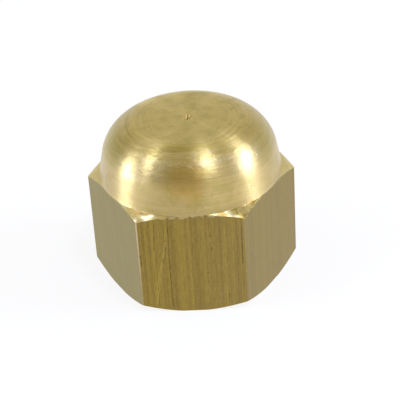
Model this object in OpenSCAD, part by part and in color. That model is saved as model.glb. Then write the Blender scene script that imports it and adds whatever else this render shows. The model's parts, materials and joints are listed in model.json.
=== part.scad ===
// Domed blanking cap turned in one piece from brass bar, with a hexagon for a spanner.
// It stands on its open foot, with the axis of the blind threaded socket along Z.

/* [Hexagon] */
// Distance across the flats, which the spanner takes
across_flats = 19; // [17.5:0.5:24]
// Depth that the upright corners are rounded away, on the radius
corner_round = 0.05; // [0.02:0.01:0.3]
// Height of each upright corner, from the foot to the shoulder
corner_height = 11.1; // [8.5:0.1:12.5]

/* [Foot] */
// Slope of the turned chamfer under the corners, in degrees
foot_chamfer_angle = 33; // [20:1:45]
// Amount by which the foot face is wider than the flats
foot_overhang = 0.1; // [-1:0.1:0.6]

/* [Shoulder and neck] */
// Slope of the turned shoulder on top of the corners, in degrees
shoulder_angle = 17; // [5:1:30]
// Depth of the narrow groove that parts the shoulder from the dome
neck_depth = 0.2; // [0.1:0.05:0.6]
// Width of the groove at its bottom
neck_width = 0.05; // [0.05:0.05:0.4]
// Slope of the groove's upper side, under the edge of the dome, in degrees
neck_angle = 45; // [20:5:60]

/* [Dome] */
// Height of the whole cap
cap_height = 17.8; // [17:0.1:24]
// Amount by which the lower edge of the dome is wider than the flats
dome_overhang = 0.3; // [-2:0.1:1]
// Inward lean of the side of the dome, in degrees
dome_taper = 11; // [0:0.5:15]
// Radius of the rounding between the side and the crown
dome_rounding = 4.4; // [3:0.1:4.8]
// Radius of the nearly flat crown
crown_radius = 150; // [40:5:400]

/* [Centre mark] */
// Diameter of the shallow dish left in the middle of the crown
mark_dish_d = 1.3; // [0.8:0.1:3]
// Depth of that dish
mark_dish_depth = 0.1; // [0.05:0.05:0.3]
// Diameter of the small pit in the middle of the dish
mark_pit_d = 0.4; // [0.2:0.1:0.7]
// Depth of the pit below the dish
mark_pit_depth = 0.3; // [0.1:0.1:0.6]

/* [Threaded socket] */
// Major diameter of the parallel pipe thread
thread_major_d = 13.157; // [12:0.001:14]
// Pitch of the thread
thread_pitch = 1.337; // [1:0.001:1.814]
// Radial clearance outside the thread at the chamfered mouth
mouth_clearance = 0.2; // [0.1:0.05:0.5]
// Depth of the tapping drill at its full diameter
drill_depth = 11.5; // [8:0.1:12.5]
// Point angle of the tapping drill, in degrees
drill_point_angle = 118; // [110:1:140]

/* [Hidden] */

$fa = 2;
$fs = 0.3;

BRASS = [0.71, 0.62, 0.38];
HEX_SIDES = 6;
// Depth of the truncated 55 degree thread form, as a share of its pitch
THREAD_DEPTH_RATIO = 0.640327;
MOUTH_CHAMFER_ANGLE = 45;
// Length by which a cutting solid runs past the face that it cuts
OVERRUN = 1;
// Height by which the rounding laps over the side and the crown, so that they meet cleanly
LAP = 0.0005;

hex_point_radius = across_flats / 2 / cos(180 / HEX_SIDES);
corner_radius = hex_point_radius - corner_round;

foot_radius = (across_flats + foot_overhang) / 2;
foot_chamfer_height = (corner_radius - foot_radius) * tan(foot_chamfer_angle);

dome_radius = (across_flats + dome_overhang) / 2;
neck_radius = dome_radius - neck_depth;
neck_bottom = corner_height + (corner_radius - neck_radius) * tan(shoulder_angle);
neck_top = neck_bottom + neck_width;
dome_edge = [dome_radius, neck_top + neck_depth * tan(neck_angle)];

// The rounding touches the leaning side at side_end and the crown's circle from inside
side_direction = [-sin(dome_taper), cos(dome_taper)];
side_normal = [cos(dome_taper), sin(dome_taper)];
crown_centre = [0, cap_height - crown_radius];
rounding_offset = dome_edge - dome_rounding * side_normal - crown_centre;
offset_along_side = rounding_offset * side_direction;
rounding_reach = crown_radius - dome_rounding;
side_length = sqrt(offset_along_side ^ 2 - rounding_offset * rounding_offset + rounding_reach ^ 2)
    - offset_along_side;
side_end = dome_edge + side_length * side_direction;
rounding_centre = side_end - dome_rounding * side_normal;
crown_direction = (rounding_centre - crown_centre) / rounding_reach;
beyond_crown = crown_centre + (crown_radius + OVERRUN) * crown_direction;

thread_minor_radius = thread_major_d / 2 - THREAD_DEPTH_RATIO * thread_pitch;
mouth_radius = thread_major_d / 2 + mouth_clearance;
mouth_depth = (mouth_radius - thread_minor_radius) * tan(MOUTH_CHAMFER_ANGLE);
drill_point_height = thread_minor_radius / tan(drill_point_angle / 2);

// Half outline of the turning up to the rounding, closed through the rounding's centre
module turned_side() {
    polygon([
        [0, 0],
        [foot_radius, 0],
        [corner_radius, foot_chamfer_height],
        [corner_radius, corner_height],
        [neck_radius, neck_bottom],
        [neck_radius, neck_top],
        dome_edge,
        side_end,
        rounding_centre,
        [0, rounding_centre.y]
    ]);
}

// Slice of the crown's large circle between the axis and the rounding
module crown_slice() {
    intersection() {
        translate(crown_centre)
            circle(r = crown_radius);
        polygon([
            [0, rounding_centre.y - OVERRUN],
            [rounding_centre.x, rounding_centre.y - OVERRUN],
            rounding_centre,
            beyond_crown,
            [0, cap_height + OVERRUN]
        ]);
    }
}

// Round blank with its foot chamfer, shoulder, neck and dome
module turned_blank() {
    rotate_extrude()
        intersection() {
            square([corner_radius, cap_height]);
            union() {
                turned_side();
                crown_slice();
                translate(rounding_centre)
                    circle(r = dome_rounding + LAP);
            }
        }
}

// What the six flats take away: they face -Y and every 60 degrees, and run out in the neck
module flat_cuts() {
    difference() {
        translate([0, 0, -OVERRUN])
            cylinder(r = hex_point_radius + OVERRUN, h = neck_top + OVERRUN);
        translate([0, 0, -2 * OVERRUN])
            cylinder(r = hex_point_radius, h = cap_height, $fn = HEX_SIDES);
    }
}

// Shallow dish and pit that the tool leaves where it reaches the middle of the crown
module centre_mark() {
    translate([0, 0, cap_height])
        rotate_extrude()
            polygon([
                [0, -mark_dish_depth - mark_pit_depth],
                [mark_pit_d / 2, -mark_dish_depth],
                [mark_dish_d / 2, 0],
                [mark_dish_d / 2, OVERRUN],
                [0, OVERRUN]
            ]);
}

// Blind socket at the minor diameter of its thread, with a chamfered mouth
module threaded_socket() {
    rotate_extrude()
        polygon([
            [0, -OVERRUN],
            [mouth_radius, -OVERRUN],
            [mouth_radius, 0],
            [thread_minor_radius, mouth_depth],
            [thread_minor_radius, drill_depth],
            [0, drill_depth + drill_point_height]
        ]);
}

module domed_cap() {
    color(BRASS)
        difference() {
            turned_blank();
            flat_cuts();
            threaded_socket();
            centre_mark();
        }
}

domed_cap();
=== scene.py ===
"""Dressed model of a domed brass blanking cap, with its plain studio stage.

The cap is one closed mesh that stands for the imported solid. It adds the cut thread, the broken
edges, the burr and the tool marks. All lengths are in metres, and the axis of the cap is Z.
"""

import json
import math

import bmesh
import bpy
import numpy as np
from mathutils import Matrix, Vector


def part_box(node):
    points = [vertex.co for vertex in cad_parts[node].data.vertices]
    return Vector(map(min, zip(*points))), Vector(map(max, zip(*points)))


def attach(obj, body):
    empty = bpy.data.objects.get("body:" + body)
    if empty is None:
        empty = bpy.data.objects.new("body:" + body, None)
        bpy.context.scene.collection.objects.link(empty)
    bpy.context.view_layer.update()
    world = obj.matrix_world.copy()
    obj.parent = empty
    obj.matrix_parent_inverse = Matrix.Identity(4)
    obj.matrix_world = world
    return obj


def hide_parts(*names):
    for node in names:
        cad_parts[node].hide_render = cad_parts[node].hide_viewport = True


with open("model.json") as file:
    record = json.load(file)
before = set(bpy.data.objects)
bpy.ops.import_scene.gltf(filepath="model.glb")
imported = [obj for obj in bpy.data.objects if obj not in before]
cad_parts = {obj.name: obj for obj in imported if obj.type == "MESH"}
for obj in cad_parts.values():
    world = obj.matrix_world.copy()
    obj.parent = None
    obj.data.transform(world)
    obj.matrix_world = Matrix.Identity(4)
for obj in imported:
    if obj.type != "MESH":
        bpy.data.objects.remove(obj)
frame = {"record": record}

bl_info = {
    "name": "Domed Blanking Cap",
    "version": (1, 0, 0),
    "blender": (4, 5, 0),
    "location": "View3D > Sidebar > Cap",
    "description": "Builds a turned brass blanking cap and the stage that it stands on",
    "category": "Object",
}

MM = 0.001
NODE = "domed_cap"

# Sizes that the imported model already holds
MOUNTS = {mount["name"]: mount for mount in frame["record"]["mounts"]}
_, BOX_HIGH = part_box(NODE)
HALF_FLATS = abs(MOUNTS["spanner_flat_front"]["pos_m"][1])
THREAD_MINOR_RADIUS = MOUNTS["thread"]["dims"]["r_mm"] * MM
CORNER_RADIUS = BOX_HIGH.x
DOME_RADIUS = BOX_HIGH.y
CAP_HEIGHT = BOX_HIGH.z

HEX_SIDES = 6
# Form of the 55 degree thread, as shares of its pitch
THREAD_ROUNDING_RATIO = 0.137329
THREAD_FLANK_ANGLE = math.radians(27.5)


def length(name, description, default):
    """Setting that holds a length"""
    return bpy.props.FloatProperty(
        name=name,
        description=description,
        default=default,
        min=0.0,
        precision=5,
        unit="LENGTH",
        subtype="DISTANCE",
    )


def angle(name, description, degrees):
    """Setting that holds an angle, whose default is given in degrees"""
    return bpy.props.FloatProperty(
        name=name,
        description=description,
        default=math.radians(degrees),
        unit="ROTATION",
        subtype="ANGLE",
    )


def colour(name, description, default):
    """Setting that holds a colour"""
    return bpy.props.FloatVectorProperty(
        name=name,
        description=description,
        default=default,
        size=3,
        min=0.0,
        max=1.0,
        subtype="COLOR",
    )


def share(name, description, default, maximum=1.0):
    """Setting that goes from 0 to 1, or to its own maximum"""
    return bpy.props.FloatProperty(
        name=name,
        description=description,
        default=default,
        min=0.0,
        max=maximum,
        subtype="FACTOR",
    )


class CapSizes(bpy.types.PropertyGroup):
    """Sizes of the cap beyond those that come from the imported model"""

    corner_height: length("Corner height", "Height of each upright corner, from the foot", 11.2 * MM)
    foot_radius: length("Foot radius", "Outer radius of the foot face before the flats cut it", 9.55 * MM)
    foot_angle: angle("Foot chamfer", "Slope of the turned chamfer under the corners", 33)
    shoulder_angle: angle("Shoulder", "Slope of the turned shoulder on top of the corners", 24.5)
    shoulder_crown: length("Shoulder crown", "Radius of the slight bulge of the shoulder", 3.2 * MM)
    dome_foot: length("Dome foot", "Height of the lower edge of the dome", 11.8 * MM)
    dome_edge_rounding: length("Dome edge", "Radius of the lower edge of the dome", 0.02 * MM)
    neck_depth: length("Neck depth", "Depth of the fine groove below the edge of the dome", 0.03 * MM)
    neck_gap: length("Neck gap", "Height of that groove", 0.008 * MM)
    flat_run_out: length("Flat run-out", "Depth of the step where a flat meets the dome", 0.065 * MM)
    dome_taper: angle("Dome taper", "Inward lean of the side of the dome", 11)
    dome_rounding: length("Dome rounding", "Radius between the side and the crown", 4.4 * MM)
    crown_radius: length("Crown radius", "Radius of the nearly flat crown", 150 * MM)
    dish_radius: length("Dish radius", "Radius of the shallow dish in the middle of the crown", 0.65 * MM)
    dish_depth: length("Dish depth", "Depth of that dish", 0.13 * MM)
    pit_radius: length("Pit radius", "Radius of the pit in the middle of the dish", 0.23 * MM)
    pit_depth: length("Pit depth", "Depth of the pit below the dish", 0.3 * MM)
    thread_major_radius: length("Thread major radius", "Radius at the root of the thread", 6.5785 * MM)
    thread_pitch: length("Thread pitch", "Rise of the thread in one turn", 1.337 * MM)
    mouth_clearance: length("Mouth clearance", "Gap outside the thread at the chamfered mouth", 0.2 * MM)
    drill_depth: length("Drill depth", "Depth of the tapping drill at its full diameter", 11.5 * MM)
    drill_point: angle("Drill point", "Full angle of the point of the drill", 118)
    edge_rounding: length("Edge rounding", "Radius of the broken edges", 0.05 * MM)
    corner_rounding: length("Corner rounding", "Radius along the upright corners", 0.1 * MM)
    burr_height: length("Burr", "Most that the burr stands out along the top of the flats", 0.03 * MM)


class CapFinish(bpy.types.PropertyGroup):
    """Colours and roughness of the brass as turned, scraped, drawn and cut by the tap"""

    side: colour("Side", "Colour of the turned side of the dome", (0.61, 0.465, 0.175))
    bend: colour("Rounding", "Colour of the rounding above the tool's join", (0.60, 0.46, 0.165))
    crown: colour("Crown", "Colour of the faced crown", (0.71, 0.555, 0.21))
    # Where the gold thins on the left front corner, this pale colour is a painted highlight
    shoulder: colour("Shoulder", "Colour of the scraped shoulder", (0.80, 0.68, 0.38))
    shoulder_gold: colour("Shoulder, gold", "Colour of its deeper golden patches", (0.66, 0.48, 0.14))
    # Partly painted shade on the right front corner of the shoulder
    shoulder_film_and_shade: colour("Shoulder, film", "Colour of the film on its front corner", (0.36, 0.27, 0.06))
    olive: colour("Olive film", "Colour of the greenish film on the brass", (0.46, 0.37, 0.07))
    pip: colour("Centre mark", "Colour of the dish in the middle of the crown", (0.70, 0.50, 0.16))
    # At the front of the dome this brown is partly painted shade
    stain_and_shade: colour("Stain", "Colour of the brown stain on the dome", (0.62, 0.345, 0.06))
    dirt: colour("Dirt", "Colour of the dark specks and scores", (0.20, 0.13, 0.035))
    # This colour also paints the highlight along the left upright corner of the flats
    scuff_and_highlight: colour("Scuffs", "Colour of the light scuffs and rubbed edges", (0.88, 0.79, 0.52))
    side_roughness: share("Side roughness", "Roughness of the turned side", 0.387)
    bend_roughness: share("Rounding roughness", "Roughness of the rounding", 0.385)
    crown_roughness: share("Crown roughness", "Roughness of the faced crown", 0.28)
    shoulder_roughness: share("Shoulder roughness", "Roughness of the scraped shoulder", 0.45)
    drawn: colour("Drawn brass", "Colour of the drawn flats", (0.315, 0.225, 0.042))
    drawn_brown: colour("Drawn brass, brown", "Colour of the browner streaks", (0.28, 0.19, 0.045))
    drawn_dark: colour("Drawn brass, dark", "Colour in the marks along the flats", (0.14, 0.09, 0.02))
    drawn_film: colour("Drawn brass, film", "Colour of the film on the side flats", (0.225, 0.188, 0.012))
    drawn_dirt: colour("Drawn brass, dirt", "Colour of the scores on the flats", (0.06, 0.035, 0.01))
    drawn_bright: colour("Drawn brass, bright", "Colour of the brighter marks", (0.46, 0.36, 0.075))
    drawn_roughness: share("Drawn roughness", "Roughness of the drawn flats", 0.44)
    cut: colour("Cut thread", "Colour of the thread and the bore", (0.60, 0.45, 0.16))
    cut_roughness: share("Cut roughness", "Roughness of the thread and the bore", 0.35)


class CapMarks(bpy.types.PropertyGroup):
    """How strongly the marks and films show on the brass"""

    film_patches: share("Dome, film patches", "Patches of olive film all over the dome", 0.4)
    film_and_shade_band: share("Dome, film band", "Band of film round the front of the crown", 0.75)
    # Partly painted shade on the front of the crown
    film_belt: share("Dome, film belt", "Film on the rounding at both sides", 0.95)
    turning_lines: share("Dome, lines", "Fine lines left by the lathe tool", 0.065)
    turning_bands: share("Dome, bands", "Broader bands left by the lathe tool", 0.055)
    turned_grain: share("Dome, grain", "Fine grain of the turned brass", 0.045)
    facing_rings: share("Crown, rings", "Rings of even pitch at both sides of the crown", 0.07)
    # Partly painted shade at the front of the dome
    stain_and_shade: share("Dome, stain", "Brown stain at the front of the dome", 0.36)
    join: share("Dome, join", "Dark ring where two cuts of the tool meet", 0.4)
    high_score: share("Dome, high score", "Fine dark ring below the crown", 0.15)
    dome_scores: share("Dome, scores", "Single dark scores on the dome", 0.8)
    dome_specks: share("Dome, specks", "Dark specks on the dome", 0.5)
    pit: share("Crown, pit", "Darkness of the pit in the middle of the crown", 0.65)
    scuffs: share("Dome, scuffs", "Light scuffs round the front of the rounding", 0.6)
    hairlines: share("Dome, hairlines", "Thin light scratches on the dome", 0.5)
    turned_wear: share("Dome, wear", "Light rubbed edges of the turned brass", 0.25)
    shoulder_lines: share("Shoulder, lines", "Fine lines on the shoulder", 0.06)
    shoulder_grain: share("Shoulder, grain", "Fine grain of the shoulder", 0.04)
    shoulder_specks: share("Shoulder, specks", "Dark specks on the shoulder", 0.6)
    shoulder_wear: share("Shoulder, wear", "Light rubbed edges of the shoulder", 0.15)
    bright_streaks: share("Flats, bright streaks", "Brighter streaks along the flats", 0.06)
    dark_lines: share("Flats, dark lines", "Narrow dark lines along the flats", 0.26)
    drawn_grain: share("Flats, grain", "Short grain along the flats", 0.11)
    drawn_mottling: share("Flats, mottling", "Fine mottling of the flats", 0.09)
    broad_streaks: share("Flats, broad streaks", "Shade of the broad streaks", 0.035)
    torn_tops: share("Flats, torn tops", "Bright torn metal along the top of the flats", 0.32)
    torn_notches: share("Flats, notches", "Dark notches in that torn metal", 0.8)
    flat_scores: share("Flats, scores", "Single dark scores on the front flat", 0.5)
    flat_specks: share("Flats, specks", "Dark specks on the flats", 0.6)
    flat_scratches: share("Flats, scratches", "Single bright scratches on the front flat", 0.6)
    dulled_bore: share("Bore, dulled", "Dulled patches in the bore", 0.4)


class StageSettings(bpy.types.PropertyGroup):
    """Light, floor and camera"""

    room_light: share("Room light", "Strength of the even light of the room", 0.587, 2.0)
    side_light: share("Side light", "How much brighter the room is on the right", 0.12, 2.0)
    room_colour: colour("Room colour", "Colour of the light of the room", (1.0, 0.955, 0.67))
    backdrop_light: share("Backdrop light", "Strength of the white backdrop behind the cap", 0.95, 2.0)
    floor_colour: colour("Floor", "Colour of the floor", (0.9, 0.9, 0.9))
    floor_lift: share("Floor lift", "How far the seen floor is lifted towards white", 0.85)
    camera_distance: length("Camera distance", "From the camera to the middle of the cap", 152.6 * MM)
    camera_height: angle("Camera elevation", "Angle of the camera above the horizon", 32.456)
    camera_turn: angle("Camera turn", "Turn of the camera round the cap", 2.2465)
    camera_roll: angle("Camera roll", "Roll of the camera about its own line of sight", -3.6756)
    lens: bpy.props.FloatProperty(
        name="Lens",
        description="Focal length on a 36 mm sensor, in millimetres",
        default=128.18,
        min=1.0,
        unit="CAMERA",
    )


# ---------------------------------------------------------------- outline of the cap

# Angle between two upright corners, in degrees
SEXTANT = 360 // HEX_SIDES
# Turn from an upright corner, in degrees, of the columns of the mesh up to the middle of a flat
CORNER_STEPS = [0, 0.12, 0.24, 0.34, 0.44, 0.54, 0.64, 0.8, 1.1, 1.6, 2.2]
FLAT_STEPS = list(range(3, SEXTANT // 2 + 1))
# Turn from a corner over which its rubbed edge fades out
WORN_TURN = math.radians(0.7)

# Steps of the mesh across each face and each rounding
ARC_STEPS = 5
FOOT_STEPS = 6
CHAMFER_STEPS = 5
FLAT_FACE_STEPS = 8
SHOULDER_STEPS = 9
DOME_SIDE_STEPS = 22
DOME_ROUNDING_STEPS = 56
MOUTH_STEPS = 3
DISH_STEPS = 8

# Distance between an edge's rounding and the row that keeps the face beside it flat
HOLD = 0.03 * MM
# That distance is never more than this share of the face
MOST_HELD = 0.25
MERGE_DISTANCE = 1e-7
# Stands in for a length of zero where something is divided by it
TINY = 1e-12


def column_angles():
    """Angles of the columns round the axis, close together at the six corners"""
    half = CORNER_STEPS + FLAT_STEPS
    sextant = half + [SEXTANT - step for step in reversed(half[:-1])]
    degrees = [SEXTANT * side + step for side in range(HEX_SIDES) for step in sextant[:-1]]
    return np.radians(np.array(degrees, float))


def turn_from_corner(turns):
    """Angle between each column and the nearest upright corner"""
    sector = 2 * math.pi / HEX_SIDES
    return np.abs((turns + sector / 2) % sector - sector / 2)


def hexagon_radius(turns, rounding):
    """Distance from the axis to the rounded hexagon at each angle"""
    turn = turn_from_corner(turns)
    lean = math.pi / HEX_SIDES
    facet = CORNER_RADIUS / np.cos(turn)
    flat = HALF_FLATS / np.cos(lean - turn)
    centre_x = CORNER_RADIUS - rounding
    centre_y = (HALF_FLATS - rounding - math.cos(lean) * centre_x) / math.sin(lean)
    start = math.atan2(centre_y, CORNER_RADIUS)
    end = math.atan2(centre_y + rounding * math.sin(lean), centre_x + rounding * math.cos(lean))
    along = centre_x * np.cos(turn) + centre_y * np.sin(turn)
    beyond = rounding ** 2 - (centre_x ** 2 + centre_y ** 2 - along ** 2)
    arc = along + np.sqrt(np.maximum(beyond, 0))
    radius = np.where(turn < start, facet, np.where(turn > end, flat, arc))
    return np.minimum(radius, CORNER_RADIUS)


def wavering(turns, seed, waves=(40, 150), count=46):
    """Uneven line round the axis that closes on itself, from -1 to 1"""
    chance = np.random.default_rng(seed)
    line = np.zeros_like(turns)
    for _ in range(count):
        line += np.cos(chance.integers(*waves) * turns + chance.uniform(0, 2 * math.pi))
    return line / np.abs(line).max()


def arc_rows(centre_r, centre_z, radius, start, end, steps=ARC_STEPS):
    """Rows of points on an arc whose outward normal leans from start to end above the horizon"""
    leans = np.linspace(start, end, steps + 1)
    return [(centre_r + radius * math.cos(a), centre_z + radius * math.sin(a)) for a in leans]


def edge_centre(r, z, start, end, radius):
    """Centre of the rounding of the edge at (r, z) between faces with these two normals"""
    inset = radius / math.cos((end - start) / 2)
    middle = (start + end) / 2
    return r - inset * math.cos(middle), z - inset * math.sin(middle)


def held(first, last, steps):
    """Rows between two rows of points, with one close to each end to keep the face flat"""
    gap = np.hypot(np.asarray(last[0]) - first[0], np.asarray(last[1]) - first[1])
    near = np.minimum(HOLD / np.maximum(gap, TINY), MOST_HELD)
    inner = [near + (1 - 2 * near) * step / steps for step in range(steps + 1)]
    return [
        (first[0] + along * (last[0] - first[0]), first[1] + along * (last[1] - first[1]))
        for along in inner
    ]


class Skin:
    """Closed mesh in the making: rows of points round the axis, joined by faces"""

    def __init__(self):
        self.points = []
        self.wear = []
        self.faces = []
        self.finishes = []

    def row(self, turns, r, z, wear=0.0):
        """One ring of points; r, z and wear are single values or one value for each column"""
        first = len(self.points)
        shape = np.zeros_like(turns)
        r, z, wear = r + shape, z + shape, wear + shape
        self.points += list(zip(r * np.cos(turns), r * np.sin(turns), z))
        self.wear += list(wear)
        return list(range(first, len(self.points)))

    def face(self, corners, finish):
        """One face between points of the skin, seen from outside anticlockwise"""
        self.faces.append(corners)
        self.finishes.append(finish)

    def join(self, lower, upper, finish):
        """Faces between two rings, seen from outside with the upper ring above

        The rings have the same number of points, or one has twice as many as the other.
        """
        count = len(lower)
        if len(upper) == count:
            for i in range(count):
                j = (i + 1) % count
                self.face((lower[i], lower[j], upper[j], upper[i]), finish)
        elif count == 2 * len(upper):
            for i in range(len(upper)):
                j = (i + 1) % len(upper)
                a, b, c = lower[2 * i], lower[2 * i + 1], lower[(2 * i + 2) % count]
                self.face((a, b, upper[i]), finish)
                self.face((b, upper[j], upper[i]), finish)
                self.face((b, c, upper[j]), finish)
        else:
            for i in range(count):
                j = (i + 1) % len(upper)
                a, b, c = upper[2 * i], upper[2 * i + 1], upper[(2 * i + 2) % len(upper)]
                k = (i + 1) % count
                self.face((lower[i], b, a), finish)
                self.face((lower[i], lower[k], b), finish)
                self.face((lower[k], c, b), finish)

    def stack(self, last, turns, rows, finish, inside=False):
        """Rings from the last one on, each joined to the one before; returns the final ring"""
        for row in rows:
            ring = self.row(turns, *row)
            lower, upper = (ring, last) if inside else (last, ring)
            self.join(lower, upper, finish)
            last = ring
        return last

    def close(self, ring, point, finish):
        """Fan of faces from the last ring to one point on the axis"""
        tip = len(self.points)
        self.points.append(point)
        self.wear.append(0.0)
        for i in range(len(ring)):
            self.face((ring[i], ring[(i + 1) % len(ring)], tip), finish)


# Slots of the cap's materials, in the order in which it gets them
TURNED, DRAWN, CUT, SCRAPED = range(4)

# The rounding along the top of the flats goes from this share of the edge rounding up by the next
LEAST_ROUNDING = 0.4
ADDED_ROUNDING = 0.8
ROUNDING_SEED = 19
# The burr stands along the front flat, fades out past its corners and dips by a share of its height
BURR_SLOPE = 6
BURR_FADE = 4.6
BURR_DIP = -0.35
BURR_SEED = 7
# How much the top edge of the flats is rubbed, away from the corners
TOP_WEAR = 0.15


def foot_and_flats(skin, sizes, turns):
    """Foot face, chamfer, flats and shoulder, from the mouth outward; returns both end rings"""
    rounding = sizes.edge_rounding
    radius = hexagon_radius(turns, sizes.corner_rounding)
    foot_lean = sizes.foot_angle - math.pi / 2
    shoulder_lean = math.pi / 2 - sizes.shoulder_angle
    corner_wear = np.clip(1 - turn_from_corner(turns) / WORN_TURN, 0, 1)

    toe_r = sizes.foot_radius - rounding * (1 - math.cos(sizes.foot_angle)) / math.sin(sizes.foot_angle)
    toe = (np.minimum(toe_r, radius - rounding), rounding)
    heel_z = math.sin(sizes.foot_angle) * (radius - rounding - sizes.foot_radius) + rounding
    heel = (radius - rounding, np.maximum(heel_z / math.cos(sizes.foot_angle), rounding))

    toe_arc = arc_rows(*toe, rounding, -math.pi / 2, foot_lean)
    heel_arc = arc_rows(*heel, rounding, foot_lean, 0)
    mouth = mouth_edge(sizes)
    foot_start = (mouth[0], 0)

    # The top edge is rounded unevenly, and a burr stands out along it at the front
    uneven = 0.5 + 0.5 * wavering(turns, ROUNDING_SEED)
    top_rounding = rounding * (LEAST_ROUNDING + ADDED_ROUNDING * uneven)
    neck_z = sizes.dome_foot - sizes.neck_gap
    top_z = shoulder_height(sizes, radius, neck_z - rounding / 2)
    top_centre = edge_centre(radius, top_z, 0, shoulder_lean, top_rounding)
    top_arc = arc_rows(*top_centre, top_rounding, 0, shoulder_lean)
    burr = sizes.burr_height * np.maximum(wavering(turns, BURR_SEED), BURR_DIP)
    burr = burr * (1 - corner_wear) * np.clip(-np.sin(turns) * BURR_SLOPE - BURR_FADE, 0, 1)
    standing = []
    for step, (r, z) in enumerate(top_arc):
        out = burr * math.sin(math.pi * step / ARC_STEPS)
        standing.append((r + out * math.cos(shoulder_lean / 2), z + out * math.sin(shoulder_lean / 2)))

    neck_r = np.minimum(DOME_RADIUS - sizes.neck_depth, radius - sizes.flat_run_out)
    inner_edge = (neck_r, shoulder_height(sizes, neck_r, neck_z))

    # The shoulder bulges a little between its two edges
    shoulder = held(standing[-1], inner_edge, SHOULDER_STEPS)
    run = np.hypot(standing[-1][0] - inner_edge[0], standing[-1][1] - inner_edge[1])
    sag = run ** 2 / (8 * sizes.shoulder_crown)
    for step, (r, z) in enumerate(shoulder):
        along = step / (len(shoulder) - 1)
        rise = 4 * along * (1 - along) * sag
        shoulder[step] = (r + rise * math.cos(shoulder_lean), z + rise * math.sin(shoulder_lean))

    parts = [
        (held(foot_start, toe_arc[0], FOOT_STEPS), TURNED, 0.0),
        (toe_arc, TURNED, 1.0),
        (held(toe_arc[-1], heel_arc[0], CHAMFER_STEPS), TURNED, 0.0),
        (heel_arc, TURNED, 1.0),
        (held(heel_arc[-1], standing[0], FLAT_FACE_STEPS), DRAWN, 0.0),
        (standing, DRAWN, TOP_WEAR),
        (shoulder, SCRAPED, 0.0),
        ([inner_edge], SCRAPED, 0.0),
    ]
    last = skin.row(turns, *foot_start)
    first = last
    before = TURNED
    for rows, finish, wear in parts:
        for step, (r, z) in enumerate(rows):
            ring = skin.row(turns, r, z, np.maximum(wear, corner_wear * (finish == DRAWN)))
            skin.join(last, ring, finish if step or DRAWN in (finish, before) else before)
            last = ring
        before = finish
    return first, last


def shoulder_height(sizes, radius, highest):
    """Height of the sloping shoulder at a radius, no higher than the foot of the dome allows"""
    slope = math.tan(sizes.shoulder_angle)
    return np.minimum(sizes.corner_height + (CORNER_RADIUS - radius) * slope, highest)


def mouth_edge(sizes):
    """Radius at the mouth where the foot face ends, and the height where the chamfer begins"""
    widest = sizes.thread_major_radius + sizes.mouth_clearance
    return widest + sizes.edge_rounding, sizes.edge_rounding


# Radii of the rings of the crown, from outside inward; each zone has half the columns of the last
CROWN_ZONE_END = 3.3 * MM
CROWN_ZONE_RINGS = 11
MIDDLE_ZONE = (3.1 * MM, 1.5 * MM, 9)
INNER_ZONE_START = 1.35 * MM
INNER_ZONE_RINGS = 6
# Radius of the last ring before the dish, as a share of the dish's
DISH_RIM_SHARE = 1.1
# Where the rings of the pit lie on its wall, as shares of the way in
PIT_SHARES = (0.12, 0.88, 6)


def dome(skin, sizes, turns, below):
    """Side, rounding, crown and centre mark of the dome, on top of the ring below"""
    taper = sizes.dome_taper
    edge_z = sizes.dome_foot
    underside = -math.pi / 2
    edge = edge_centre(DOME_RADIUS, edge_z, underside, taper, sizes.dome_edge_rounding)
    rows = arc_rows(*edge, sizes.dome_edge_rounding, underside, taper)

    # The rounding touches the leaning side and, from inside, the circle of the crown
    rounding = sizes.dome_rounding
    along = np.array([-math.sin(taper), math.cos(taper)])
    outward = np.array([math.cos(taper), math.sin(taper)])
    crown_centre = np.array([0, CAP_HEIGHT - sizes.crown_radius])
    offset = np.array([DOME_RADIUS, edge_z]) - rounding * outward - crown_centre
    reach = sizes.crown_radius - rounding
    travel = offset @ along
    side = math.sqrt(travel ** 2 - offset @ offset + reach ** 2) - travel
    side_end = np.array([DOME_RADIUS, edge_z]) + side * along
    centre = side_end - rounding * outward
    crown_lean = math.acos(centre[0] / reach)
    arc = arc_rows(*centre, rounding, taper, crown_lean, DOME_ROUNDING_STEPS)
    rows += held(rows[-1], arc[0], DOME_SIDE_STEPS)
    rows += arc

    def crown(*span):
        """Rings on the crown at evenly spaced radii"""
        return [
            (radius, crown_centre[1] + math.sqrt(sizes.crown_radius ** 2 - radius ** 2))
            for radius in np.linspace(*span)
        ]

    rows += crown(arc[-1][0], CROWN_ZONE_END, CROWN_ZONE_RINGS)[1:]
    rubbed = [(*row, 1.0 if 0 < index < ARC_STEPS else 0.0) for index, row in enumerate(rows)]
    last = skin.stack(below, turns, rubbed, TURNED)
    last = skin.stack(last, turns[::2], crown(*MIDDLE_ZONE), TURNED)

    rim_r, rim_z = crown(sizes.dish_radius, sizes.dish_radius, 1)[0]
    floor_z = CAP_HEIGHT - sizes.dish_depth
    inner = crown(INNER_ZONE_START, sizes.dish_radius * DISH_RIM_SHARE, INNER_ZONE_RINGS)
    for fall in np.linspace(0, 1, DISH_STEPS):
        depth = (1 - math.cos(math.pi * fall)) / 2
        inner.append((rim_r + fall * (sizes.pit_radius - rim_r), rim_z + depth * (floor_z - rim_z)))
    for fall in np.linspace(*PIT_SHARES):
        inner.append((sizes.pit_radius * (1 - fall), floor_z - sizes.pit_depth * math.sqrt(fall)))
    last = skin.stack(last, turns[::4], inner, TURNED)
    skin.close(last, (0, 0, floor_z - sizes.pit_depth), TURNED)


# Length over which the last turns of the thread grow shallower, and how far they end below the
# full depth of the drill, both in pitches
THREAD_LEAD_OUT = 1.9
THREAD_END = 0.4
# Steps of the mesh along a flank and over half of a root or a crest
FLANK_STEPS = 3
ROOT_STEPS = 3


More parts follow.
